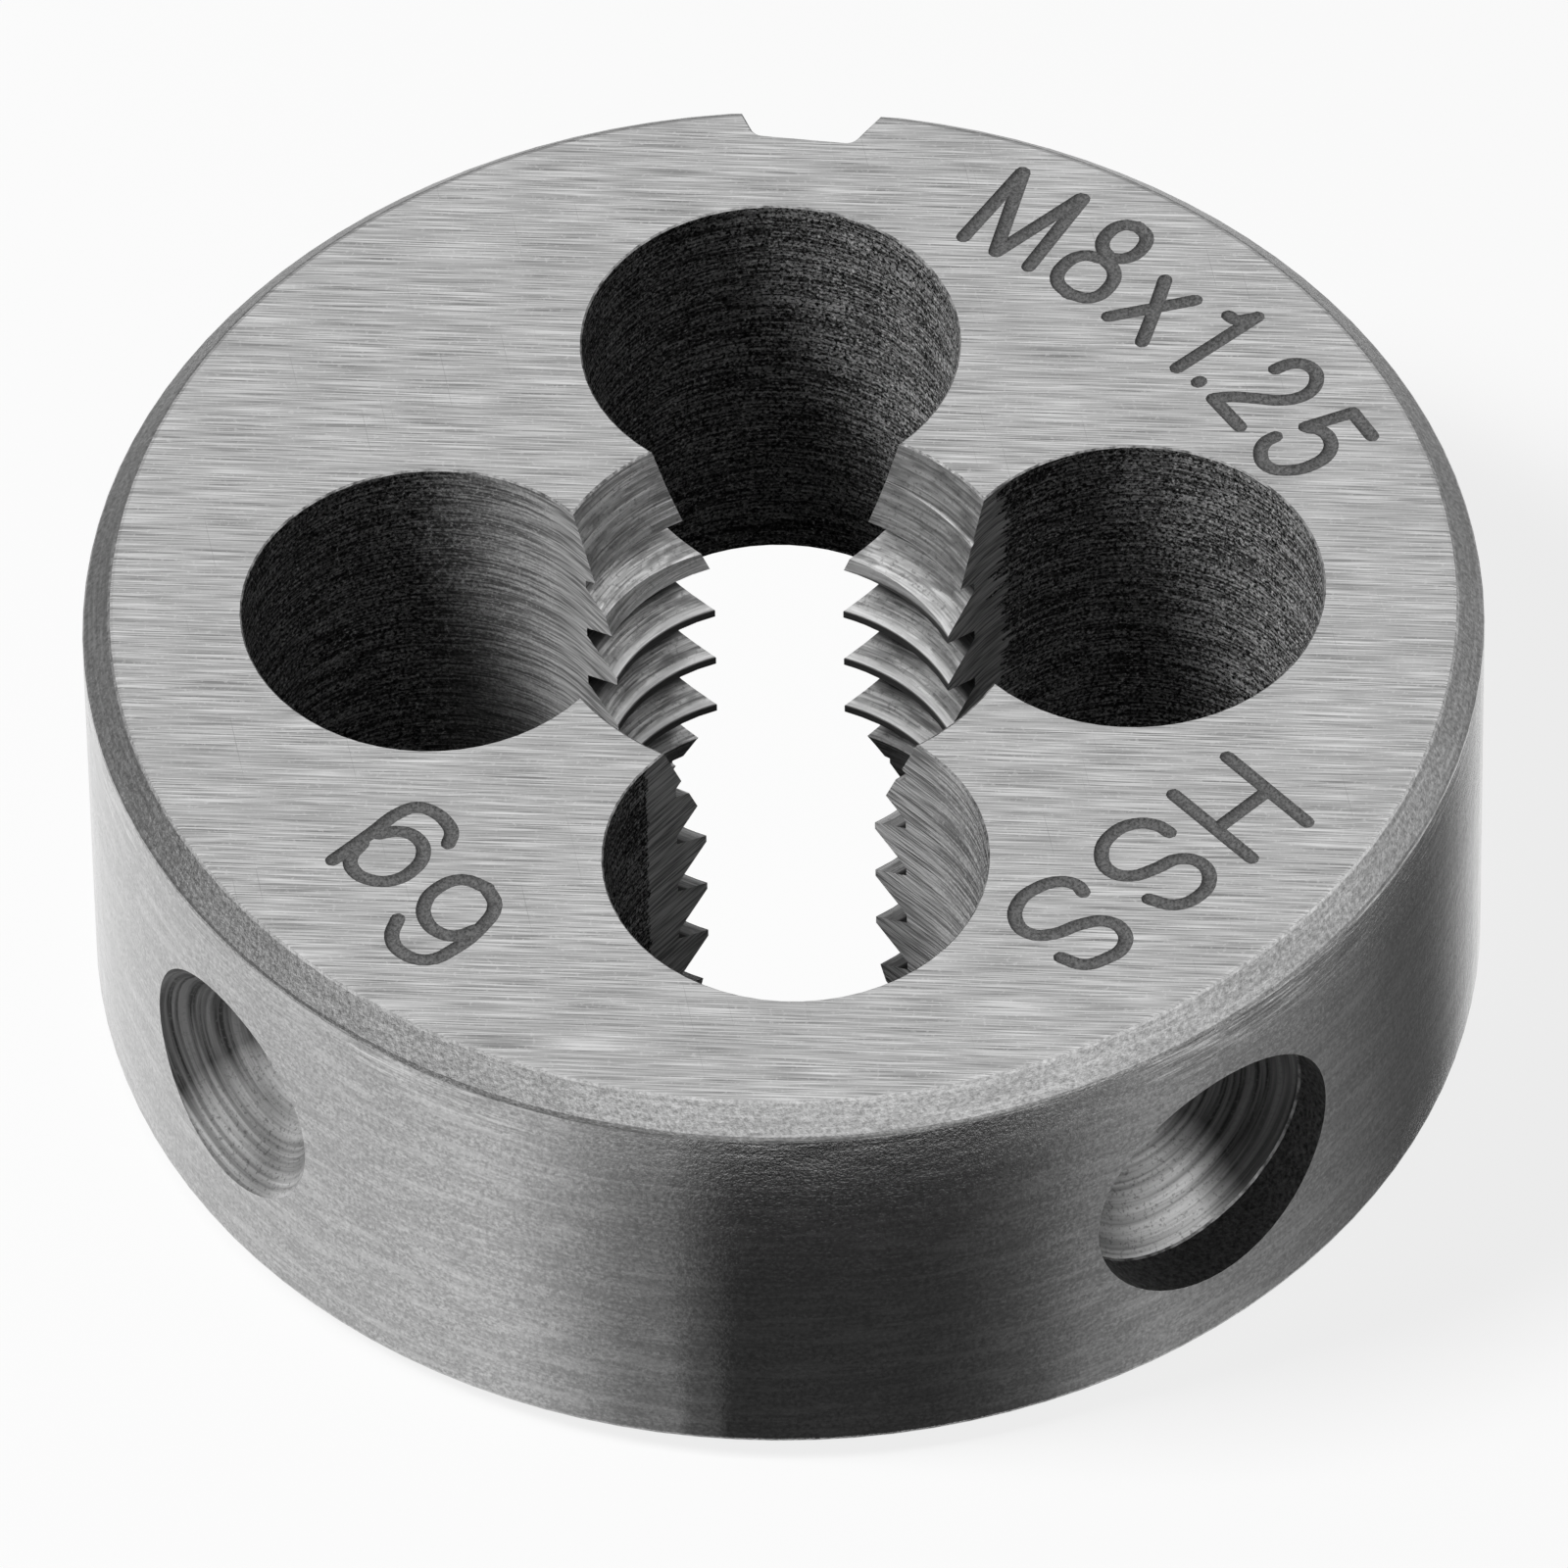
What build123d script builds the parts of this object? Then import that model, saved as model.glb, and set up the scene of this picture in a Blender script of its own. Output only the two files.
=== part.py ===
from build123d import *
import math
import os

# Round threading die for M8 x 1.25, one ground piece of high speed steel.
# Its bottom face lies on the XY plane and the axis of its bore is Z.
# The four chip holes stand on the X and Y axes.

# Rim, the standard size of die for an 8 mm thread
rim_diameter = 25.0
thickness = 9.0
rim_chamfer = 0.5

# Right-handed thread, measured on the teeth of the bore
thread_diameter = 8.0
pitch = 1.25
thread_depth_in_pitches = 0.6134
flank_angle = 60.0
tooth_tip_flat = 0.16

# Lead cones at both faces, in which the first teeth fade in
lead_mouth_clearance = 0.3
lead_angle = 22.0

# Chip holes, and the inner widths of the throats by which they open into the bore
chip_hole_diameter = 6.8
chip_circle_diameter = 12.5
side_throat_width = 1.4
rear_throat_width = 0.4
front_throat_width = 2.4
throat_inset = 0.7

# Centre line of the die stock's screws, turned from the Y axis about the bore
stock_turn = -9.5

# Notch for the middle screw of the stock, beside the centre line
notch_floor_width = 1.8
notch_depth = 1.2
notch_angle = 60.0
notch_offset = 1.1
notch_floor_fillet = 0.25
notch_lip_fillet = 0.15

# Seats for two set screws of the stock, drilled at mid height opposite the notch
seat_diameter = 5.15
seat_point_angle = 90.0
seat_turn = 45.5
seat_depth = 2.375
deep_seat_depth = 3.575

# How far each cutter runs past the steel
overrun = 1.0

rim_radius = rim_diameter / 2
thread_radius = thread_diameter / 2
thread_depth = thread_depth_in_pitches * pitch
tooth_tip_radius = thread_radius - thread_depth
lead_mouth_radius = thread_radius + lead_mouth_clearance
lead_depth = (lead_mouth_radius - tooth_tip_radius) / math.tan(math.radians(lead_angle))

groove_mouth = pitch - tooth_tip_flat
groove_floor = groove_mouth - 2 * thread_depth * math.tan(math.radians(flank_angle / 2))
groove_start = -1.5 * pitch
groove_height = (math.ceil(thickness / pitch) + 3) * pitch

chip_hole_radius = chip_hole_diameter / 2
chip_circle_radius = chip_circle_diameter / 2
throat_radius = tooth_tip_radius - throat_inset
throats = (
    (0, side_throat_width),
    (90, rear_throat_width),
    (180, side_throat_width),
    (270, front_throat_width),
)

stock_plane = Plane.XY.rotated((0, 0, stock_turn))

notch_reach = notch_depth + overrun
notch_flare = notch_reach * math.tan(math.radians(notch_angle / 2))

seat_radius = seat_diameter / 2
seat_point_length = seat_radius / math.tan(math.radians(seat_point_angle / 2))
seats = (
    (180 - seat_turn, seat_depth),
    (180 + seat_turn, deep_seat_depth),
)

# The four chip holes, each drawn together into one outline with its throat
with BuildSketch() as chip_openings:
    for turn, throat_width in throats:
        with BuildLine(Plane.XY.rotated((0, 0, turn))) as hole_and_throat:
            CenterArc((chip_circle_radius, 0), chip_hole_radius, 0, 360)
            Line((throat_radius, -throat_width / 2), (throat_radius, throat_width / 2))
        make_hull(hole_and_throat.edges())

# The notch, drawn about the middle of its floor and open towards +Y
with BuildSketch() as notch:
    Polygon(
        (-notch_floor_width / 2, 0),
        (notch_floor_width / 2, 0),
        (notch_floor_width / 2 + notch_flare, notch_reach),
        (-notch_floor_width / 2 - notch_flare, notch_reach),
        align=None,
    )
    fillet(notch.vertices().group_by(Axis.Y)[0], notch_floor_fillet)

with BuildPart() as threading_die:
    # The turned blank with its chamfers, its bore and a lead cone at each face
    with BuildSketch(Plane.XZ):
        Polygon(
            (lead_mouth_radius, 0),
            (rim_radius - rim_chamfer, 0),
            (rim_radius, rim_chamfer),
            (rim_radius, thickness - rim_chamfer),
            (rim_radius - rim_chamfer, thickness),
            (lead_mouth_radius, thickness),
            (tooth_tip_radius, thickness - lead_depth),
            (tooth_tip_radius, lead_depth),
            align=None,
        )
    revolve(axis=Axis.Z)

    # The thread is one groove swept along its helix, past both faces
    with BuildLine() as groove_path:
        Helix(pitch, groove_height, thread_radius, center=(0, 0, groove_start))
    with BuildSketch(Plane.XZ):
        with Locations((0, groove_start)):
            Polygon(
                (throat_radius, -groove_mouth / 2),
                (tooth_tip_radius, -groove_mouth / 2),
                (thread_radius, -groove_floor / 2),
                (thread_radius, groove_floor / 2),
                (tooth_tip_radius, groove_mouth / 2),
                (throat_radius, groove_mouth / 2),
                align=None,
            )
    sweep(path=groove_path.line, is_frenet=True, mode=Mode.SUBTRACT)

    # Chip holes, which cut the thread into separate lands
    with BuildSketch(Plane.XY.offset(-overrun)):
        add(chip_openings.sketch)
    extrude(amount=thickness + 2 * overrun, mode=Mode.SUBTRACT)

    # The notch runs the whole height of the rim
    with BuildSketch(stock_plane.offset(-overrun)):
        with Locations((-notch_offset, rim_radius - notch_depth)):
            add(notch.sketch)
    extrude(amount=thickness + 2 * overrun, mode=Mode.SUBTRACT)
    rim_edges = threading_die.edges().filter_by(GeomType.LINE).filter_by(Axis.Z)
    notch_lips = rim_edges.sort_by(lambda edge: math.hypot(edge.center().X, edge.center().Y))[-2:]
    fillet(notch_lips, notch_lip_fillet)

    # Screw seats, each drilled in from the rim with a pointed drill
    for turn, depth in seats:
        direction = Vector(0, 1, 0).rotate(Axis.Z, stock_turn + turn)
        seat_plane = Plane(origin=(0, 0, thickness / 2), z_dir=direction)
        with Locations(seat_plane.offset(rim_radius - depth)):
            Cone(0, seat_radius, seat_point_length, align=(Align.CENTER, Align.CENTER, Align.MIN),
                 mode=Mode.SUBTRACT)
        with Locations(seat_plane.offset(rim_radius - depth + seat_point_length)):
            Cylinder(seat_radius, depth + overrun, align=(Align.CENTER, Align.CENTER, Align.MIN),
                     mode=Mode.SUBTRACT)

threading_die.part.label = "threading_die"

os.makedirs("parts", exist_ok=True)
export_step(threading_die.part, "parts/threading_die.step")
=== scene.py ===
import bmesh
import bpy
import math
from mathutils import Matrix, Vector


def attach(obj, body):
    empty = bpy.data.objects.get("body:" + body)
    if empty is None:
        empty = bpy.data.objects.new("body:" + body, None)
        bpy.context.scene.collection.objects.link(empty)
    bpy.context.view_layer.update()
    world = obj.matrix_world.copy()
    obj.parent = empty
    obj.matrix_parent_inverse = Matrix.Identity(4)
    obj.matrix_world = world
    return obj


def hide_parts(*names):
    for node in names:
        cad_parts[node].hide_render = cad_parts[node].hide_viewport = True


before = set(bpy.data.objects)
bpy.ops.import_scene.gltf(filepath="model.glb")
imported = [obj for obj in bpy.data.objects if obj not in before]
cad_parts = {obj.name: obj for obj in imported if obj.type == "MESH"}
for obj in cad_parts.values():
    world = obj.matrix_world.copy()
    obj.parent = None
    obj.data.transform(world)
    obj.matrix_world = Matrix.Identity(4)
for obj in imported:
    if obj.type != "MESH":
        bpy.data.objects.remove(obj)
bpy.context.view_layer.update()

scene = bpy.context.scene
scene.view_settings.view_transform = "Standard"


# The die is one ring of high speed steel. It is turned and drilled, the thread is cut,
# and after hardening only its two faces and its rim are ground, so that the holes keep
# the dark skin of the furnace. Its shape is the CAD solid's, merged into one skin.

# Sizes of the die, and of the marks on its finishes, are in millimetres
thickness = 9.0
rim_radius = 12.5
per_metre = 1000
micrometre = 0.000001


def put(tree, kind, values=(), **settings):
    """Adds a shader node. A value that comes from another node is linked, any other is set."""
    made = tree.nodes.new(kind)
    for name, value in settings.items():
        setattr(made, name, value)
    for socket, value in dict(values).items():
        if isinstance(value, bpy.types.NodeSocket):
            tree.links.new(value, made.inputs[socket])
        else:
            made.inputs[socket].default_value = value
    return made


def calculate(tree, operation, *numbers, clamp=False):
    """The result of a Math node."""
    return put(tree, "ShaderNodeMath", enumerate(numbers), operation=operation,
               use_clamp=clamp).outputs["Value"]


def remap(tree, value, start, full, first=0.0, last=1.0, smooth=False):
    """Goes from first to last while a value goes from start to full, and no further."""
    return put(tree, "ShaderNodeMapRange", {0: value, 1: start, 2: full, 3: first, 4: last},
               interpolation_type="SMOOTHSTEP" if smooth else "LINEAR").outputs["Result"]


def split_axes(tree, place):
    """The X, Y and Z of a place."""
    return tuple(put(tree, "ShaderNodeSeparateXYZ", {"Vector": place}).outputs)


def join_axes(tree, x, y, z=0.0):
    """The place at an X, a Y and a Z."""
    return put(tree, "ShaderNodeCombineXYZ", {"X": x, "Y": y, "Z": z}).outputs["Vector"]


def length_of(tree, place):
    """How far a place is from the origin."""
    return put(tree, "ShaderNodeVectorMath", {0: place}, operation="LENGTH").outputs["Value"]


def group_tree(name, inputs, outputs):
    """Starts a node group: its tree, the sockets that it is given and those that it fills."""
    tree = bpy.data.node_groups.new(name, "ShaderNodeTree")
    for label, kind in inputs.items():
        tree.interface.new_socket(name=label, in_out="INPUT", socket_type=kind)
    for label, kind in outputs.items():
        tree.interface.new_socket(name=label, in_out="OUTPUT", socket_type=kind)
    return tree, tree.nodes.new("NodeGroupInput").outputs, tree.nodes.new("NodeGroupOutput").inputs


def use(tree, group, **values):
    """Places a node group in a material, fills its inputs and gives its outputs."""
    return put(tree, "ShaderNodeGroup", values, node_tree=group).outputs


# Place on the die in millimetres
millimetres, _, filled = group_tree("millimetres", {}, {"Place": "NodeSocketVector"})
coordinates = put(millimetres, "ShaderNodeTexCoord").outputs
in_millimetres = put(millimetres, "ShaderNodeVectorMath",
                     {0: coordinates["Object"], 1: (per_metre, per_metre, per_metre)},
                     operation="MULTIPLY")
millimetres.links.new(in_millimetres.outputs["Vector"], filled["Place"])

# Marks of a grinding wheel or a drill: noise drawn out along X, after a turn about Z
drawn_marks, wanted, filled = group_tree(
    "drawn_marks",
    {"Place": "NodeSocketVector", "Turn": "NodeSocketFloat", "Length": "NodeSocketFloat",
     "Width": "NodeSocketFloat", "Height": "NodeSocketFloat", "Shift": "NodeSocketFloat"},
    {"Marks": "NodeSocketFloat"})
turned = put(drawn_marks, "ShaderNodeVectorRotate",
             {"Vector": wanted["Place"], "Angle": wanted["Turn"]}, rotation_type="Z_AXIS")
size = join_axes(drawn_marks, wanted["Length"], wanted["Width"], wanted["Height"])
scaled = put(drawn_marks, "ShaderNodeVectorMath", {0: turned.outputs["Vector"], 1: size},
             operation="DIVIDE")
moved = put(drawn_marks, "ShaderNodeVectorMath",
            {0: scaled.outputs["Vector"], 1: wanted["Shift"]}, operation="ADD")
noise = put(drawn_marks, "ShaderNodeTexNoise",
            {"Vector": moved.outputs["Vector"], "Scale": 1.0, "Detail": 2.0, "Roughness": 0.6})
drawn_marks.links.new(noise.outputs[0], filled["Marks"])

# Place on a turned surface, unrolled round the bore: along the turn, outwards, and up
unrolled_place, wanted, filled = group_tree(
    "unrolled_place", {"Place": "NodeSocketVector", "Radius": "NodeSocketFloat"},
    {"Place": "NodeSocketVector", "Outward": "NodeSocketFloat", "From Middle": "NodeSocketFloat"})
x, y, z = split_axes(unrolled_place, wanted["Place"])
around = calculate(unrolled_place, "ARCTAN2", x, calculate(unrolled_place, "MULTIPLY", y, -1.0))
along = calculate(unrolled_place, "MULTIPLY", around, wanted["Radius"])
outward = length_of(unrolled_place, join_axes(unrolled_place, x, y))
above_middle = calculate(unrolled_place, "SUBTRACT", z, thickness / 2)
from_middle = calculate(unrolled_place, "ABSOLUTE", above_middle)
unrolled_place.links.new(join_axes(unrolled_place, along, outward, z), filled["Place"])
unrolled_place.links.new(outward, filled["Outward"])
unrolled_place.links.new(from_middle, filled["From Middle"])

# Fine grain of the steel, and broad clouds of handling
clouds_per_millimetre = 0.28
grain, wanted, filled = group_tree(
    "grain", {"Place": "NodeSocketVector", "Size": "NodeSocketFloat"},
    {"Grain": "NodeSocketFloat", "Clouds": "NodeSocketFloat"})
per_size = calculate(grain, "DIVIDE", 1.0, wanted["Size"])
fine = put(grain, "ShaderNodeTexNoise",
           {"Vector": wanted["Place"], "Scale": per_size, "Detail": 3.0, "Roughness": 0.7})
broad = put(grain, "ShaderNodeTexNoise",
            {"Vector": wanted["Place"], "Scale": clouds_per_millimetre, "Detail": 3.0})
grain.links.new(fine.outputs[0], filled["Grain"])
grain.links.new(broad.outputs[0], filled["Clouds"])


def marks_along(tree, place, length, width, height, turn=0.0, shift=0.0):
    """Marks as long, wide and high as given, drawn out along X. The shift picks other marks."""
    return use(tree, drawn_marks, Place=place, Turn=turn, Length=length, Width=width,
               Height=height, Shift=shift)["Marks"]


def blend(tree, mask, first, second):
    """The first colour where the mask is 0, and the second where it is 1."""
    return put(tree, "ShaderNodeMix", {0: mask, 6: first, 7: second}, data_type="RGBA").outputs[2]


def greys(tree, pattern, start, full, dark, light):
    """Greys from dark to light, while a pattern goes from start to full."""
    return blend(tree, remap(tree, pattern, start, full),
                 (dark, dark, dark, 1), (light, light, light, 1))


def toned(tree, colour, pattern, start, full, strength, tone, smooth=False):
    """A colour that nears a tone of grey while a pattern goes from start to full."""
    mask = remap(tree, pattern, start, full, 0.0, strength, smooth)
    return blend(tree, mask, colour, (tone, tone, tone, 1))


def steel(name, metallic=1.0):
    """A new finish of the steel, with its tree, its shader and the place on the die."""
    material = bpy.data.materials.new(name)
    material.use_nodes = True
    tree = material.node_tree
    shader = tree.nodes["Principled BSDF"]
    shader.inputs["Metallic"].default_value = metallic
    return material, tree, shader, use(tree, millimetres)["Place"]


def connect(tree, shader, colour, roughness, height, depth):
    """Gives a finish its colour, its roughness and a bump of some depth in metres."""
    tree.links.new(colour, shader.inputs["Base Color"])
    tree.links.new(roughness, shader.inputs["Roughness"])
    bump = put(tree, "ShaderNodeBump", {"Height": height, "Strength": 1.0, "Distance": depth})
    tree.links.new(bump.outputs["Normal"], shader.inputs["Normal"])


# Ground faces: fine straight lines across the die, all one way, and a few stray scratches
line_turn = math.radians(5)
scratch_turn = math.radians(82)
ground_face, tree, shader, place = steel("ground_face")
specks = use(tree, grain, Place=place, Size=0.10)["Grain"]
lines = marks_along(tree, place, length=1.8, width=0.028, height=0.5, turn=line_turn)
bands = marks_along(tree, place, length=3.5, width=0.22, height=2.0, turn=line_turn, shift=7.3)
scratches = marks_along(tree, place, length=4.0, width=0.05, height=1.0, turn=scratch_turn,
                        shift=3.1)
colour = greys(tree, lines, 0.34, 0.66, dark=0.24, light=0.78)
colour = toned(tree, colour, specks, 0.56, 0.66, strength=0.4, tone=0.74)
colour = toned(tree, colour, bands, 0.45, 0.65, strength=0.4, tone=0.36)
colour = toned(tree, colour, scratches, 0.70, 0.74, strength=0.4, tone=0.25)
roughness = remap(tree, lines, 0.3, 0.7, 0.42, 0.30)
connect(tree, shader, colour, roughness, height=lines, depth=3 * micrometre)

# Chamfers, turned before hardening: grainy, with a few long streaks of the tool
turned_chamfer, tree, shader, place = steel("turned_chamfer")
texture = use(tree, grain, Place=place, Size=0.09)
unrolled = use(tree, unrolled_place, Place=place, Radius=rim_radius)["Place"]
streaks = marks_along(tree, unrolled, length=2.0, width=0.07, height=0.07, shift=6.1)
colour = greys(tree, texture["Grain"], 0.3, 0.7, dark=0.32, light=0.72)
colour = toned(tree, colour, streaks, 0.46, 0.36, strength=0.35, tone=0.32)
colour = toned(tree, colour, streaks, 0.56, 0.66, strength=0.35, tone=0.80)
roughness = remap(tree, texture["Clouds"], 0.3, 0.7, 0.26, 0.38)
connect(tree, shader, colour, roughness, height=texture["Grain"], depth=16 * micrometre)

# Rim, ground round and matt, with smears, and rubbed along its upper edge by the stock
rub_foot, rub_top = 7.2, 8.3
ground_rim, tree, shader, place = steel("ground_rim")
_, _, height = split_axes(tree, place)
texture = use(tree, grain, Place=place, Size=0.08)
unrolled = use(tree, unrolled_place, Place=place, Radius=rim_radius)["Place"]
rounds = marks_along(tree, unrolled, length=0.9, width=1.0, height=0.07, shift=1.7)
rubs = marks_along(tree, unrolled, length=1.2, width=1.0, height=0.06, shift=4.4)
smears = marks_along(tree, unrolled, length=1.6, width=1.0, height=0.24, shift=9.2)
wear_and_painted_light = calculate(tree, "MULTIPLY", remap(tree, height, rub_foot, rub_top, smooth=True),
                   remap(tree, texture["Clouds"], 0.44, 0.56))
dark_rub = calculate(tree, "MULTIPLY", wear_and_painted_light, 0.7)
bright_rub = calculate(tree, "MULTIPLY", wear_and_painted_light, 0.8)
colour = greys(tree, texture["Grain"], 0.36, 0.64, dark=0.27, light=0.53)
colour = toned(tree, colour, rounds, 0.40, 0.62, strength=0.5, tone=0.30)
colour = toned(tree, colour, smears, 0.42, 0.34, strength=0.3, tone=0.24)
colour = toned(tree, colour, smears, 0.54, 0.64, strength=0.3, tone=0.62)
colour = toned(tree, colour, rubs, 0.47, 0.40, strength=dark_rub, tone=0.16)
colour = toned(tree, colour, rubs, 0.53, 0.62, strength=bright_rub, tone=0.80)
roughness = remap(tree, texture["Clouds"], 0.3, 0.7, 0.10, 0.16)
connect(tree, shader, colour, roughness, height=texture["Grain"], depth=8 * micrometre)

# Notch, milled from face to face in the rim
milled_notch, tree, shader, place = steel("milled_notch")
cuts = marks_along(tree, place, length=0.06, width=0.06, height=2.0)
specks = use(tree, grain, Place=place, Size=0.08)["Grain"]
colour = greys(tree, cuts, 0.3, 0.7, dark=0.22, light=0.42)
roughness = remap(tree, specks, 0.3, 0.7, 0.3, 0.45)
connect(tree, shader, colour, roughness, height=cuts, depth=6 * micrometre)

# Chip holes: drilled, with the dark skin of the furnace, and a strip beside the teeth that is
# ground bare, with a torn edge. On the lit side of each hole, near the bore, the skin is painted
# lighter, a painted sheen.
chip_circle_radius = 6.25
strip_edge, strip_tear = math.radians(49), math.radians(34)
strip_metal = 0.25
strip_roughness = 5.0
sheen_full, sheen_end, sheen_share = math.radians(45), math.radians(95), 0.8
chip_hole, tree, shader, place = steel("chip_hole")
x, y, _ = split_axes(tree, place)
along_axes = [calculate(tree, "ABSOLUTE", axis) for axis in (x, y)]
outward = calculate(tree, "MAXIMUM", *along_axes)
aside = calculate(tree, "MINIMUM", *along_axes)
inward = calculate(tree, "SUBTRACT", chip_circle_radius, outward)
from_bore = calculate(tree, "ARCTAN2", aside, inward)
rings = marks_along(tree, place, length=1.1, width=1.1, height=0.055, shift=5.9)
tears = marks_along(tree, place, length=0.9, width=0.9, height=0.16, shift=2.2)
specks = use(tree, grain, Place=place, Size=0.06)["Grain"]
torn = remap(tree, x, -2, 2, first=0.15, last=1.0)
torn_edge = calculate(tree, "MULTIPLY_ADD", calculate(tree, "SUBTRACT", tears, 0.5),
                      calculate(tree, "MULTIPLY", torn, strip_tear), strip_edge)
bare_strip = calculate(tree, "LESS_THAN", from_bore, torn_edge)
# Painted sheen: the skin is painted lighter on the side of each hole where the light falls, near
# the bore
lit_side = remap(tree, calculate(tree, "MULTIPLY", x, y), -4.0, 4.0, first=1.0, last=0.0)
painted_sheen = calculate(tree, "MULTIPLY", lit_side,
                 remap(tree, from_bore, sheen_full, sheen_end, sheen_share, 0.0))
bare_and_sheen = greys(tree, rings, 0.38, 0.62, dark=0.22, light=0.62)
skin = greys(tree, rings, 0.42, 0.66, dark=0.06, light=0.38)
skin = toned(tree, skin, specks, 0.58, 0.68, strength=1.0, tone=0.7)
skin = toned(tree, skin, specks, 0.50, 0.42, strength=1.0, tone=0.005)
skin = blend(tree, painted_sheen, skin, bare_and_sheen)
colour = blend(tree, bare_strip, skin, bare_and_sheen)
roughness = remap(tree, specks, 0.3, 0.7, 0.62, 0.45)
tree.links.new(calculate(tree, "MULTIPLY", bare_strip, strip_metal), shader.inputs["Metallic"])
shader.inputs["Specular IOR Level"].default_value = 0.0
deeper = calculate(tree, "MULTIPLY_ADD", calculate(tree, "MULTIPLY", bare_strip, torn),
                   strip_roughness, 1.0)
ridges = calculate(tree, "MULTIPLY", calculate(tree, "SUBTRACT", rings, 0.5), deeper)
connect(tree, shader, colour, roughness, height=ridges, depth=8 * micrometre)

# Thread, cut by a tap: marks and smudges along its turns, a painted highlight on the flanks
# beside the crests, and painted shade along the crests and in the roots
tooth_root_radius = 4.0
tooth_tip_radius = 3.233
lead_mouth_radius = 4.3
lead_slope = math.tan(math.radians(22))
flank_highlight_end, flank_highlight_full = tooth_tip_radius + 0.18, tooth_tip_radius + 0.08
crest_shade_end, crest_shade_full = tooth_tip_radius + 0.025, tooth_tip_radius + 0.010
cut_thread, tree, shader, place = steel("cut_thread", metallic=0.8)
unrolled = use(tree, unrolled_place, Place=place, Radius=tooth_root_radius)
turns = marks_along(tree, unrolled["Place"], length=1.6, width=0.05, height=0.07)
smudges = marks_along(tree, unrolled["Place"], length=0.8, width=0.25, height=0.22, shift=8.8)
specks = use(tree, grain, Place=place, Size=0.09)["Grain"]
outward = unrolled["Outward"]
lead_cone = calculate(tree, "MULTIPLY_ADD", unrolled["From Middle"], lead_slope,
                      lead_mouth_radius - lead_slope * thickness / 2)
below_crest = calculate(tree, "SUBTRACT", outward,
                        calculate(tree, "MAXIMUM", lead_cone, tooth_tip_radius))
colour = greys(tree, turns, 0.34, 0.66, dark=0.34, light=0.82)
colour = toned(tree, colour, specks, 0.46, 0.34, strength=0.5, tone=0.12)
colour = toned(tree, colour, smudges, 0.50, 0.62, strength=0.5, tone=0.12)
# Painted shade darkens the roots and the crests, and a painted highlight lightens the flanks beside
# the crests
colour = toned(tree, colour, below_crest, 0.10, 0.55, strength=0.5, tone=0.12)
colour = toned(tree, colour, outward, flank_highlight_end, flank_highlight_full, strength=0.7, tone=0.88)
colour = toned(tree, colour, outward, crest_shade_end, crest_shade_full, strength=0.85, tone=0.03)
colour = toned(tree, colour, below_crest, 0.44, 0.60, strength=0.95, tone=0.02, smooth=True)
roughness = remap(tree, turns, 0.3, 0.7, 0.55, 0.38)
connect(tree, shader, colour, roughness, height=turns, depth=16 * micrometre)

# Screw seats, drilled, with rings about the axis of each. Each is painted bright and more
# metallic low down and towards the front, where it faces up, a painted highlight; the rest is
# dark, the furnace's skin together with painted shade.
stock_turn = math.radians(-9.5)
seat_turn = math.radians(45.5)
lit_lean, lit_ragged = 0.4, 2.0
lit_full, lit_end = 2.4, 3.4
drilled_seat, tree, shader, place = steel("drilled_seat")
square_to_stock = put(tree, "ShaderNodeVectorRotate", {"Vector": place, "Angle": -stock_turn},
                      rotation_type="Z_AXIS")
x, y, z = split_axes(tree, square_to_stock.outputs["Vector"])
sideways = calculate(tree, "ABSOLUTE", x)
outward = calculate(tree, "SUBTRACT", calculate(tree, "MULTIPLY", sideways, math.sin(seat_turn)),
                    calculate(tree, "MULTIPLY", y, math.cos(seat_turn)))
level = calculate(tree, "ADD", calculate(tree, "MULTIPLY", sideways, math.cos(seat_turn)),
                  calculate(tree, "MULTIPLY", y, math.sin(seat_turn)))
rings = marks_along(tree, join_axes(tree, level, z, outward), length=4.0, width=4.0, height=0.07)
texture = use(tree, grain, Place=place, Size=0.08)
# Painted highlight: the lower, upward-facing part of each seat is painted bright, and the rest
# painted dark
aside = calculate(tree, "MULTIPLY_ADD", z, lit_lean, level)
ragged_aside = calculate(tree, "MULTIPLY_ADD", texture["Clouds"], lit_ragged, aside)
wear_and_painted_light = remap(tree, ragged_aside, lit_full, lit_end, first=1.0, last=0.0)
colour = blend(tree, wear_and_painted_light, greys(tree, rings, 0.36, 0.64, dark=0.02, light=0.16),
               greys(tree, rings, 0.36, 0.64, dark=0.36, light=0.74))
colour = toned(tree, colour, texture["Grain"], 0.46, 0.34, strength=0.6, tone=0.10)
roughness = remap(tree, texture["Grain"], 0.3, 0.7, 0.34, 0.46)
tree.links.new(remap(tree, wear_and_painted_light, 0.0, 1.0, first=0.25, last=0.9), shader.inputs["Metallic"])
shader.inputs["Specular IOR Level"].default_value = 0.1
connect(tree, shader, colour, roughness, height=rings, depth=6 * micrometre)

# The straight wall above each seat's point, still dark from the furnace
seat_wall, tree, shader, place = steel("seat_wall", metallic=0.3)
specks = use(tree, grain, Place=place, Size=0.09)["Grain"]
colour = greys(tree, specks, 0.35, 0.7, dark=0.02, light=0.16)
roughness = remap(tree, specks, 0.3, 0.7, 0.6, 0.4)
shader.inputs["Specular IOR Level"].default_value = 0.2
connect(tree, shader, colour, roughness, height=specks, depth=20 * micrometre)

# Broken edges, bright where the stone or a finger has rubbed them
broken_edge, tree, shader, place = steel("broken_edge", metallic=0.7)
specks = use(tree, grain, Place=place, Size=0.25)["Grain"]
colour = greys(tree, specks, 0.38, 0.6, dark=0.12, light=0.50)
roughness = remap(tree, specks, 0.3, 0.7, 0.45, 0.3)
connect(tree, shader, colour, roughness, height=specks, depth=10 * micrometre)

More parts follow.
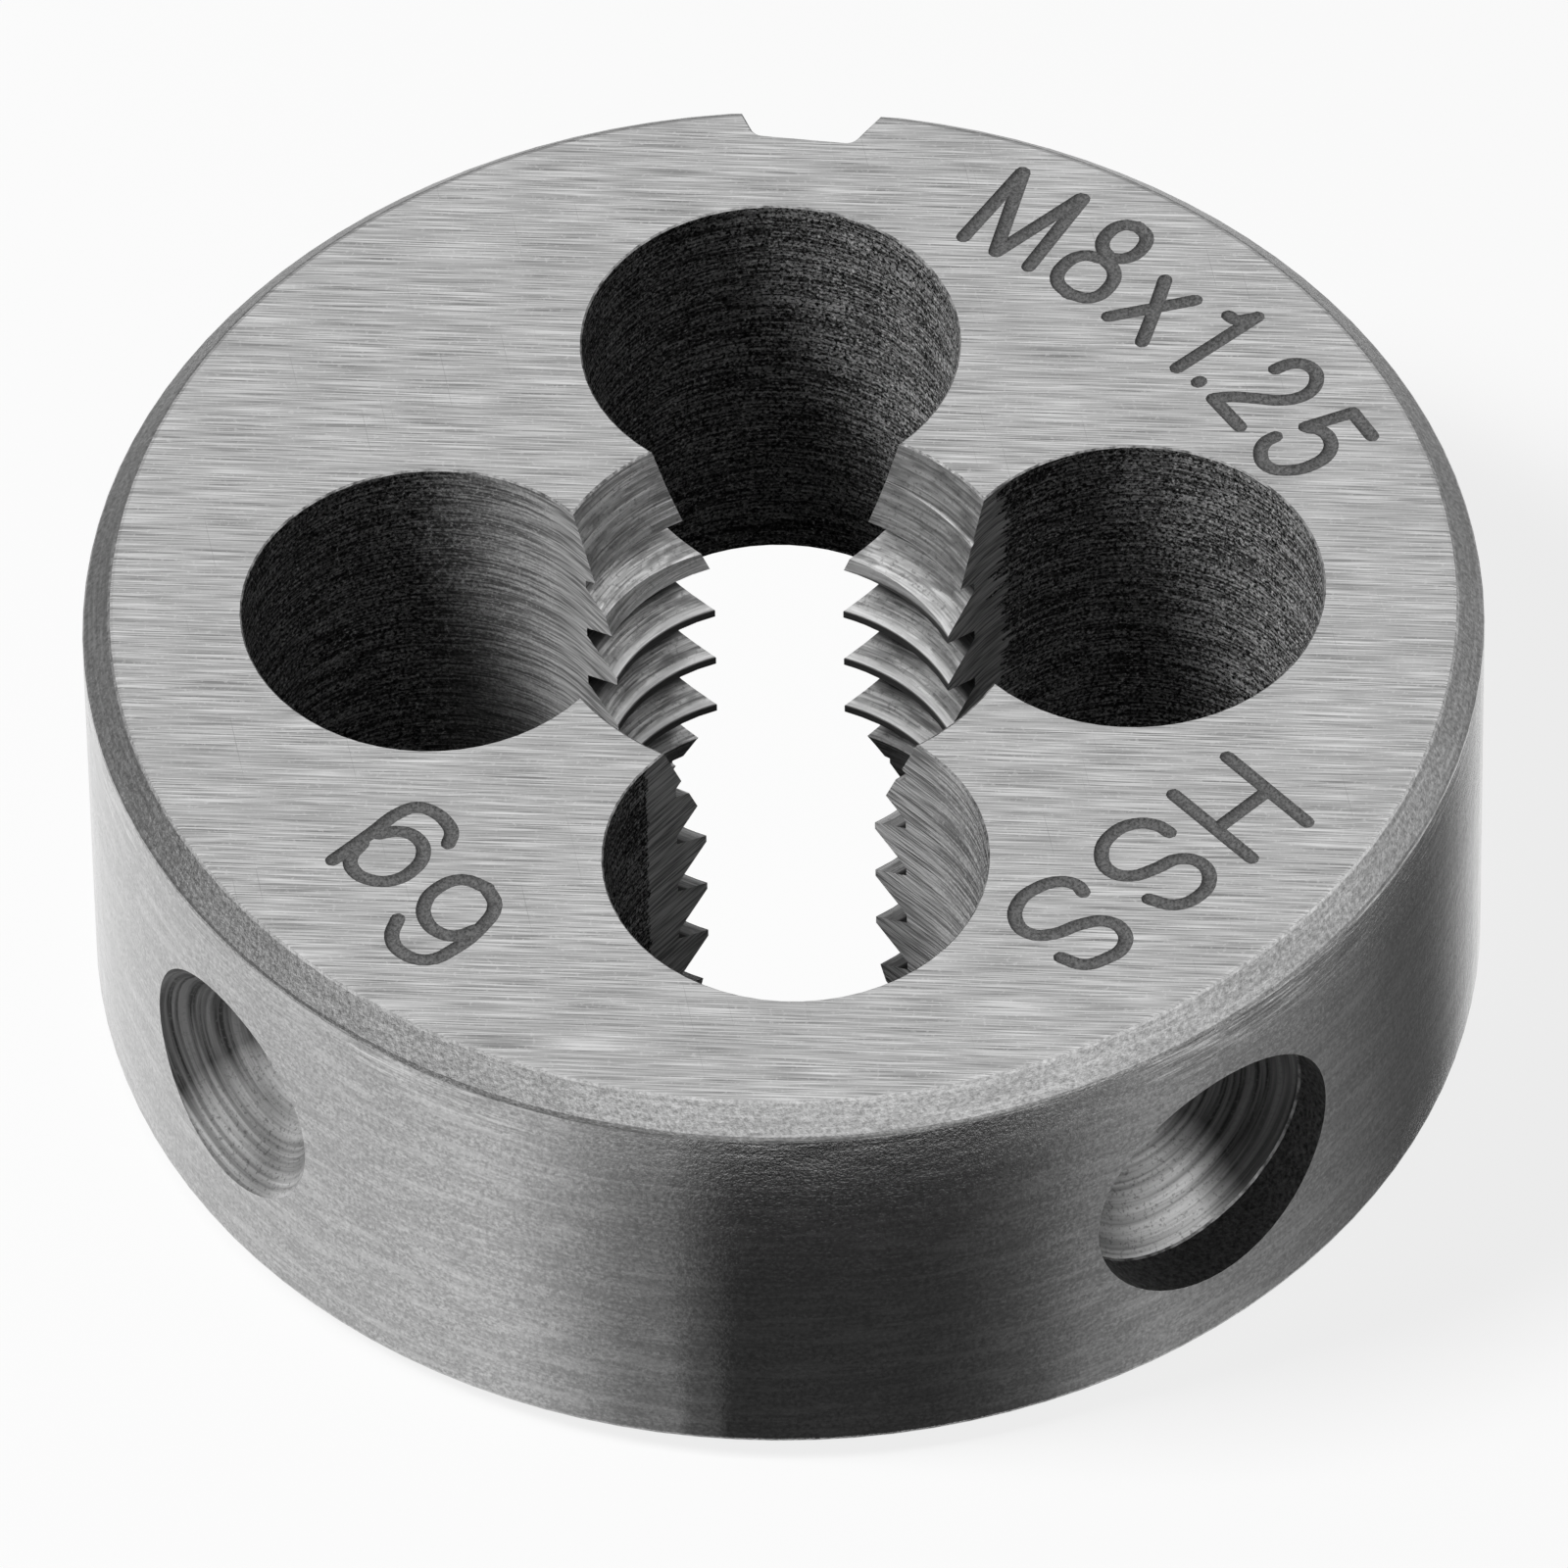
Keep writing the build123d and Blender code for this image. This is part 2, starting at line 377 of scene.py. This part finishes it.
finishes = (ground_face, turned_chamfer, ground_rim, milled_notch, chip_hole, cut_thread,
            drilled_seat, seat_wall, broken_edge)

# Limits by which a face of the solid is told from the others
chamfer = 0.5
chip_hole_radius = 3.4
throat_end = 4.6
notch_middle, notch_half = math.radians(85.5), math.radians(9)
notch_depth = 1.3
seat_bottom = 8.8
rim_sag = 0.1
margin = 0.01


def finish_of(face):
    """The finish of a face of the merged solid, from where it lies and which way it looks."""
    centre = face.calc_center_median() * per_metre
    reach = math.hypot(centre.x, centre.y)
    outwards = face.normal.dot(Vector((centre.x, centre.y, 0)).normalized())
    facing_up = abs(face.normal.z)
    upright = facing_up < margin
    from_middle = abs(centre.z - thickness / 2)
    from_hole = math.hypot(max(abs(centre.x), abs(centre.y)) - chip_circle_radius,
                           min(abs(centre.x), abs(centre.y)))
    from_notch = abs(math.atan2(centre.y, centre.x) - notch_middle)
    if facing_up > 1 - margin and from_middle > thickness / 2 - margin:
        return ground_face
    if (reach > rim_radius - chamfer and from_middle > thickness / 2 - chamfer
            and facing_up > 0.5):
        return turned_chamfer
    if reach > rim_radius - rim_sag and outwards > 0.98:
        return ground_rim
    if from_notch < notch_half and reach > rim_radius - notch_depth:
        return milled_notch
    if upright and from_hole < chip_hole_radius + margin:
        return chip_hole
    if upright and abs(outwards) < 0.95 and reach < throat_end:
        return chip_hole
    if reach > seat_bottom:
        side = math.copysign(seat_turn, centre.x) + stock_turn
        along_seat = face.normal.dot(Vector((math.sin(side), -math.cos(side), 0)))
        return drilled_seat if along_seat > 0.3 else seat_wall
    return cut_thread


# The CAD solid is loose triangles. They are merged, and those that lie in one plane joined.
merge_distance = 1e-7
flat_limit = math.radians(0.3)
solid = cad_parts["threading_die"]
skin_mesh = bmesh.new()
skin_mesh.from_mesh(solid.data)
bmesh.ops.remove_doubles(skin_mesh, verts=skin_mesh.verts, dist=merge_distance)
for face in skin_mesh.faces:
    face.material_index = finishes.index(finish_of(face))
bmesh.ops.dissolve_limit(
    skin_mesh, angle_limit=flat_limit, verts=skin_mesh.verts, edges=skin_mesh.edges,
    use_dissolve_boundaries=False, delimit={"MATERIAL"})

# The mouths of the holes are broken with a stone, and the edges of the chamfers are worn round
edge_break = 0.00003
edge_round = 0.00006


def bevel(width, segments, *pairs):
    """Bevels the edges at which the two finishes of one of the pairs meet."""
    wanted = [{finishes.index(first), finishes.index(second)} for first, second in pairs]
    edges = [edge for edge in skin_mesh.edges
             if {face.material_index for face in edge.link_faces} in wanted]
    return bmesh.ops.bevel(
        skin_mesh, geom=edges, offset=width, offset_type="OFFSET", affect="EDGES",
        segments=segments, profile=0.5, material=-1, clamp_overlap=False, loop_slide=True)["faces"]


for face in bevel(edge_break, 1, (ground_face, chip_hole), (ground_face, cut_thread),
                  (ground_face, milled_notch), (drilled_seat, seat_wall)):
    face.material_index = finishes.index(broken_edge)
bevel(edge_round, 2, (ground_face, turned_chamfer), (turned_chamfer, ground_rim))


def add_to_scene(name, data):
    """An object in the scene, at the origin, made of a mesh, a lamp or a camera."""
    made = bpy.data.objects.new(name, data)
    scene.collection.objects.link(made)
    return made


def piece_of(name, shape):
    """An object in the scene made of a finished bmesh, which is used up."""
    mesh = bpy.data.meshes.new(name)
    shape.to_mesh(mesh)
    shape.free()
    return add_to_scene(name, mesh)


die_body = piece_of("die_body", skin_mesh)
for finish in finishes:
    die_body.data.materials.append(finish)


# The marks say the size of the thread, its steel and its fit. They are engraved by hand with
# the round nose of an electric pen, stroke by stroke, each standing outwards on a circle,
# and the heat of the pen leaves them dark.
burnt_mark, tree, shader, place = steel("burnt_mark", metallic=0.4)
specks = use(tree, grain, Place=place, Size=0.05)["Grain"]
colour = greys(tree, specks, 0.35, 0.65, dark=0.05, light=0.20)
roughness = remap(tree, specks, 0.3, 0.7, 0.5, 0.65)
connect(tree, shader, colour, roughness, height=specks, depth=10 * micrometre)

# The middle of the pen runs above the face by the lift, and the rest of its radius cuts in.
# Its nose is given as how far ahead it reaches and how thick it is there, in its radii.
pen_radius = 0.16
pen_lift = 0.08
pen_nose = ((0.0, 1.0), (0.5, 0.87), (0.87, 0.5), (1.0, 0.15))
pen_merge_distance = 1e-5

# Each mark has its angle round the die in degrees, the radius at which it stands, and its
# strokes, whose points are given across it and up from its foot
marks = (
    # M
    (62.6, 8.95, (
        ((-0.84, 0.44), (-0.56, 2.35)),
        ((-0.54, 2.35), (-0.16, 0.35)),
        ((-0.14, 0.35), (0.68, 2.2)),
        ((0.72, 2.2), (0.54, 0.26)))),
    # 8
    (53.1, 8.9, (
        ((0.12, 1.27), (-0.17, 1.43), (-0.27, 1.78), (-0.16, 2.08), (0.09, 2.2)),
        ((0.07, 2.2), (0.34, 2.09), (0.45, 1.78), (0.36, 1.45), (0.1, 1.27)),
        ((0.05, 1.19), (-0.34, 1.04), (-0.48, 0.65), (-0.36, 0.27), (0.01, 0.12)),
        ((-0.02, 0.12), (0.38, 0.26), (0.5, 0.65), (0.36, 1.03), (0.04, 1.19)))),
    # x
    (44.6, 8.85, (
        ((-0.3, 1.5), (0.08, 0.8), (0.44, 0.09)),
        ((0.44, 1.5), (0.02, 0.84), (-0.43, 0.14)))),
    # 1
    (36.8, 8.85, (
        ((0.06, 2.06), (0.12, 0.14)),
        ((-0.29, 1.68), (-0.12, 1.72), (0.04, 1.98)))),
    # Point
    (32.8, 8.9, (
        ((0.0, 0.18), (0.0, 0.22)),)),
    # 2
    (27.0, 8.8, (
        ((-0.51, 1.6), (-0.5, 1.88), (-0.37, 2.1), (-0.14, 2.19), (0.1, 2.1), (0.27, 1.88),
         (0.3, 1.6), (0.2, 1.3), (-0.05, 0.95), (-0.3, 0.6), (-0.43, 0.3)),
        ((-0.43, 0.27), (0.4, 0.34)))),
    # 5
    (18.9, 8.95, (
        ((0.19, 2.27), (-0.46, 2.17)),
        ((-0.47, 2.17), (-0.45, 1.25)),
        ((-0.42, 1.28), (-0.27, 1.47), (0.0, 1.54), (0.29, 1.4), (0.46, 1.02), (0.43, 0.58),
         (0.21, 0.26), (-0.12, 0.25), (-0.36, 0.43), (-0.43, 0.66)))),
    # H
    (-34.9, 8.5, (
        ((-0.39, 2.26), (-0.96, 0.24)),
        ((0.86, 1.89), (0.31, -0.08)),
        ((-0.62, 1.27), (0.5, 1.02)))),
    # S
    (-46.6, 8.15, (
        ((0.69, 1.57), (0.47, 2.0), (0.03, 2.15), (-0.38, 2.02), (-0.56, 1.65), (-0.38, 1.3),
         (0.1, 1.15), (0.52, 0.96), (0.69, 0.62), (0.5, 0.22), (0.03, 0.03), (-0.43, 0.15),
         (-0.67, 0.46), (-0.7, 0.73)),)),
    # S
    (-59.0, 8.25, (
        ((0.64, 1.69), (0.4, 2.05), (0.0, 2.15), (-0.42, 2.08), (-0.62, 1.76), (-0.5, 1.42),
         (-0.09, 1.23), (0.45, 1.15), (0.79, 0.91), (0.83, 0.55), (0.54, 0.19), (0.09, 0.08),
         (-0.34, 0.18), (-0.54, 0.42), (-0.54, 0.61)),)),
    # 6
    (-129.9, 8.55, (
        ((0.66, 1.65), (0.47, 2.06), (0.1, 2.23), (-0.36, 2.09), (-0.57, 1.6), (-0.63, 0.9),
         (-0.5, 0.36), (-0.11, 0.12)),
        ((-0.6, 1.0), (-0.38, 1.36), (-0.08, 1.46), (0.25, 1.37), (0.5, 1.1), (0.56, 0.66),
         (0.34, 0.23), (-0.14, 0.12)))),
    # g
    (-141.4, 7.95, (
        ((0.4, 1.5), (0.28, 1.86), (0.0, 2.02), (-0.37, 1.93), (-0.63, 1.64), (-0.67, 1.22),
         (-0.5, 0.84), (-0.16, 0.68), (0.18, 0.8), (0.38, 1.12)),
        ((0.44, 2.14), (0.49, 1.2), (0.53, 0.5), (0.42, 0.2), (0.16, 0.06), (-0.2, 0.05),
         (-0.44, 0.14), (-0.6, 0.35)))),
)


def nose_at(end, inner):
    """The pen's nose beyond the end of a stroke that comes from an inner point."""
    ahead = (end - inner).normalized() * pen_radius
    return [(end + ahead * reach, girth) for reach, girth in pen_nose]


def pen_stroke(points):
    """One stroke of the pen: a tube that runs smoothly through the points, round at both ends."""
    points = [Vector((x, y, pen_lift)) for x, y in points]
    knots = (nose_at(points[0], points[1])[::-1] + [(point, 1.0) for point in points[1:-1]]
             + nose_at(points[-1], points[-2]))
    path = bpy.data.curves.new("stroke", "CURVE")
    path.dimensions = "3D"
    path.bevel_depth = pen_radius
    path.bevel_resolution = 7
    path.resolution_u = 4
    path.use_fill_caps = True
    line = path.splines.new("BEZIER")
    line.bezier_points.add(len(knots) - 1)
    for knot, (place, girth) in zip(line.bezier_points, knots):
        knot.co = place
        knot.radius = girth
        knot.handle_left_type = knot.handle_right_type = "AUTO"
    drawn = bpy.data.meshes.new_from_object(bpy.data.objects.new("stroke", path))
    closed = bmesh.new()
    closed.from_mesh(drawn)
    bmesh.ops.remove_doubles(closed, verts=closed.verts, dist=pen_merge_distance)
    bmesh.ops.recalc_face_normals(closed, faces=closed.faces)
    closed.to_mesh(drawn)
    closed.free()
    return drawn


# The pen cuts one stroke at a time
for angle, foot, strokes in marks:
    outwards = math.radians(angle)
    stand = (Matrix.Scale(1 / per_metre, 4)
             @ Matrix.Translation((foot * math.cos(outwards), foot * math.sin(outwards), thickness))
             @ Matrix.Rotation(outwards - math.pi / 2, 4, "Z"))
    for points in strokes:
        stroke = pen_stroke(points)
        stroke.transform(stand)
        stroke.materials.append(burnt_mark)
        pen = add_to_scene("pen", stroke)
        cut = die_body.modifiers.new("mark", "BOOLEAN")
        cut.object = pen
        cut.operation = "DIFFERENCE"
        cut.solver = "EXACT"
        cut.material_mode = "TRANSFER"
        bpy.context.view_layer.update()
        die_body.data = bpy.data.meshes.new_from_object(
            die_body.evaluated_get(bpy.context.evaluated_depsgraph_get()))
        die_body.modifiers.clear()
        bpy.data.objects.remove(pen)

# Curved faces are shaded smooth, and every real edge stays sharp
smooth_limit = math.radians(10)
pen_smooth_limit = math.radians(35)
mark_slot = list(die_body.data.materials).index(burnt_mark)
finished = bmesh.new()
finished.from_mesh(die_body.data)
for face in finished.faces:
    face.smooth = True
for edge in finished.edges:
    inside_mark = all(face.material_index == mark_slot for face in edge.link_faces)
    edge.smooth = edge.calc_face_angle(0) < (pen_smooth_limit if inside_mark else smooth_limit)
finished.to_mesh(die_body.data)
finished.free()
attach(die_body, "root")
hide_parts("threading_die")


# The floor is a sheet of white paper, a hair below the die so that the two share no plane.
# Under the die the paper is painted dark, a painted shade that keeps light from bouncing up into
# the holes. The camera sees it almost white, with a trace of the die's shadow, and the steel
# mirrors it white beside the die and greyer further off. Its sizes are in metres.
floor_size = 1.0
floor_gap = 0.00002
shade_under_die, paper_white = 0.08, 0.8
shade_under_die_end, paper_white_start = 0.0115, 0.0125
bore_white, outer_white = 0.97, 0.82
bore_white_end, outer_white_start = 0.010, 0.012
mirrored_start, mirrored_full = 0.0118, 0.0125
dimming_start, dimming_end, dimming = 0.022, 0.034, 0.74
floor_shape = bmesh.new()
bmesh.ops.create_grid(floor_shape, x_segments=1, y_segments=1, size=floor_size,
                      matrix=Matrix.Translation((0, 0, -floor_gap)))
floor = piece_of("floor", floor_shape)
paper = bpy.data.materials.new("paper")
paper.use_nodes = True
tree = paper.node_tree
shader = tree.nodes["Principled BSDF"]
shader.inputs["Roughness"].default_value = 0.9
shader.inputs["Specular IOR Level"].default_value = 0.0
rays = put(tree, "ShaderNodeLightPath").outputs
away = length_of(tree, put(tree, "ShaderNodeTexCoord").outputs["Object"])
# Painted shade: the paper's colour is dark under the die and white beyond it
tree.links.new(greys(tree, away, shade_under_die_end, paper_white_start, shade_under_die, paper_white),
               shader.inputs["Base Color"])
dimmed = calculate(tree, "MULTIPLY", rays["Is Glossy Ray"],
                   remap(tree, away, dimming_start, dimming_end, 0.0, dimming, smooth=True))
white = put(tree, "ShaderNodeEmission",
            {"Color": (1, 1, 1, 1), "Strength": calculate(tree, "SUBTRACT", 1.0, dimmed)})
seen = calculate(tree, "MULTIPLY", rays["Is Camera Ray"],
                 remap(tree, away, bore_white_end, outer_white_start, bore_white, outer_white))
mirrored = calculate(tree, "MULTIPLY", rays["Is Glossy Ray"],
                     remap(tree, away, mirrored_start, mirrored_full))
whitened = calculate(tree, "MAXIMUM", calculate(tree, "MAXIMUM", seen, mirrored),
                     rays["Is Transmission Ray"])
mixed = put(tree, "ShaderNodeMixShader",
            {0: whitened, 1: shader.outputs["BSDF"], 2: white.outputs["Emission"]})
tree.links.new(mixed.outputs["Shader"], tree.nodes["Material Output"].inputs["Surface"])
floor.data.materials.append(paper)


# Studio light: a pale room that is darker near the horizon, and a soft lamp high on the left.
# The steel mirrors the room, and nearly all the light that falls on the die is the lamp's.
horizon_light, ceiling_light, right_light = 0.15, 0.87, 0.12
ceiling_height, ceiling_curve = 0.75, 1.2
room_fill = 0.05
world = bpy.data.worlds.new("studio")
scene.world = world
world.use_nodes = True
tree = world.node_tree
rays = put(tree, "ShaderNodeLightPath").outputs
right, _, up = split_axes(tree, put(tree, "ShaderNodeTexCoord").outputs["Generated"])
risen = calculate(tree, "POWER", calculate(tree, "DIVIDE", up, ceiling_height, clamp=True),
                  ceiling_curve)
level = calculate(tree, "MULTIPLY_ADD", risen, ceiling_light, horizon_light)
level = calculate(tree, "MULTIPLY_ADD", right, right_light, level)
level = calculate(tree, "MULTIPLY", level,
                  remap(tree, rays["Is Diffuse Ray"], 0.0, 1.0, 1.0, room_fill))
level = calculate(tree, "MAXIMUM", level, rays["Is Camera Ray"])
background = tree.nodes["Background"]
background.inputs["Color"].default_value = (1, 1, 1, 1)
tree.links.new(level, background.inputs["Strength"])

lamp = bpy.data.lights.new("soft_lamp", "AREA")
lamp.size = 0.10
lamp.energy = 1.35
lamp_holder = add_to_scene("soft_lamp", lamp)
lamp_holder.visible_glossy = False
lamp_place = Vector((-0.215, -0.03, 0.27))
towards_die = (-lamp_place).to_track_quat("-Z", "Y").to_matrix().to_4x4()
lamp_holder.matrix_world = Matrix.Translation(lamp_place) @ towards_die


# A graded card lies round the front and right of the die, hidden from the camera. The rim
# mirrors it: black in front, pale beside that, and dark again towards the right.

# Each tone has its angle round the rim in degrees, from the front towards the right
card_tones = (
    (-26, 1.0), (-15, 0.37), (-10.9, 0.33), (-10.2, 0.17), (-7.6, 0.15), (-7.3, 0.06),
    (10, 0.065), (14, 0.09), (19, 0.17), (24, 0.36), (30, 0.50), (45, 0.33), (60, 0.13),
    (67, 0.14), (72, 0.27), (78, 0.68), (84, 0.95), (86, 1.0))
card_start, card_end = card_tones[0][0], card_tones[-1][0]
card_columns, card_rows = 224, 18
card_gap = 0.1
card_depth = 9.0
card_height = 0.05
rounding_start, rounding_length, rounding_turn = 6.4, 1.4, 1.9


def along_card(turn):
    """Where an angle round the rim comes on the card, from 0 at its start to 1 at its end."""
    return (turn - card_start) / (card_end - card_start)


# The card is a grid laid out so that each point of the rim mirrors a line of it, which runs
# out at twice the point's angle. The corners of its dark patch are rounded at the far end.
card_shape = bmesh.new()
bmesh.ops.create_grid(card_shape, x_segments=card_columns, y_segments=card_rows, size=0.5)
turn_layer = card_shape.verts.layers.float.new("turn")
for corner in card_shape.verts:
    turn = card_start + (corner.co.x + 0.5) * (card_end - card_start)
    reach = card_depth * (corner.co.y + 0.5)
    side = math.radians(turn)
    radius = rim_radius + card_gap
    rounding = rounding_turn * max(0, (reach - rounding_start) / rounding_length) ** 2
    corner[turn_layer] = along_card(turn - rounding)
    corner.co = Vector((radius * math.sin(side) + reach * math.sin(2 * side),
                        -radius * math.cos(side) - reach * math.cos(2 * side),
                        card_height)) / per_metre
graded_card = piece_of("graded_card", card_shape)
card_print = bpy.data.materials.new("card_print")
card_print.use_nodes = True
tree = card_print.node_tree
turn_seen = put(tree, "ShaderNodeAttribute", attribute_name="turn")
ramp = put(tree, "ShaderNodeValToRGB", {0: turn_seen.outputs["Fac"]})
stops = ramp.color_ramp.elements
for number, (turn, tone) in enumerate(card_tones):
    stop = stops[number] if number < 2 else stops.new(along_card(turn))
    stop.position = along_card(turn)
    stop.color = (tone, tone, tone, 1)
printed = put(tree, "ShaderNodeEmission", {"Color": ramp.outputs["Color"], "Strength": 1.0})
tree.links.new(printed.outputs["Emission"], tree.nodes["Material Output"].inputs["Surface"])
graded_card.data.materials.append(card_print)
graded_card.visible_camera = False
graded_card.visible_diffuse = False
graded_card.visible_shadow = False


# The camera stands at the height and turn of the photograph's, well off with a long lens, so
# that the far side of the die shows hardly smaller than the near one.
aim = Vector((-0.000088, -0.002185, 0.00647))
camera_distance = 0.4384
camera_tilt = math.radians(90 - 47.56)
camera_turn = math.radians(-1.342)
camera_roll = math.radians(-0.97)
lens = bpy.data.cameras.new("camera")
lens.lens = 564.75
lens.clip_start = 0.01
camera = add_to_scene("camera", lens)
facing = (Matrix.Rotation(camera_turn, 4, "Z") @ Matrix.Rotation(camera_tilt, 4, "X")
          @ Matrix.Rotation(camera_roll, 4, "Z"))
camera.matrix_world = Matrix.Translation(aim) @ facing @ Matrix.Translation((0, 0, camera_distance))
scene.camera = camera
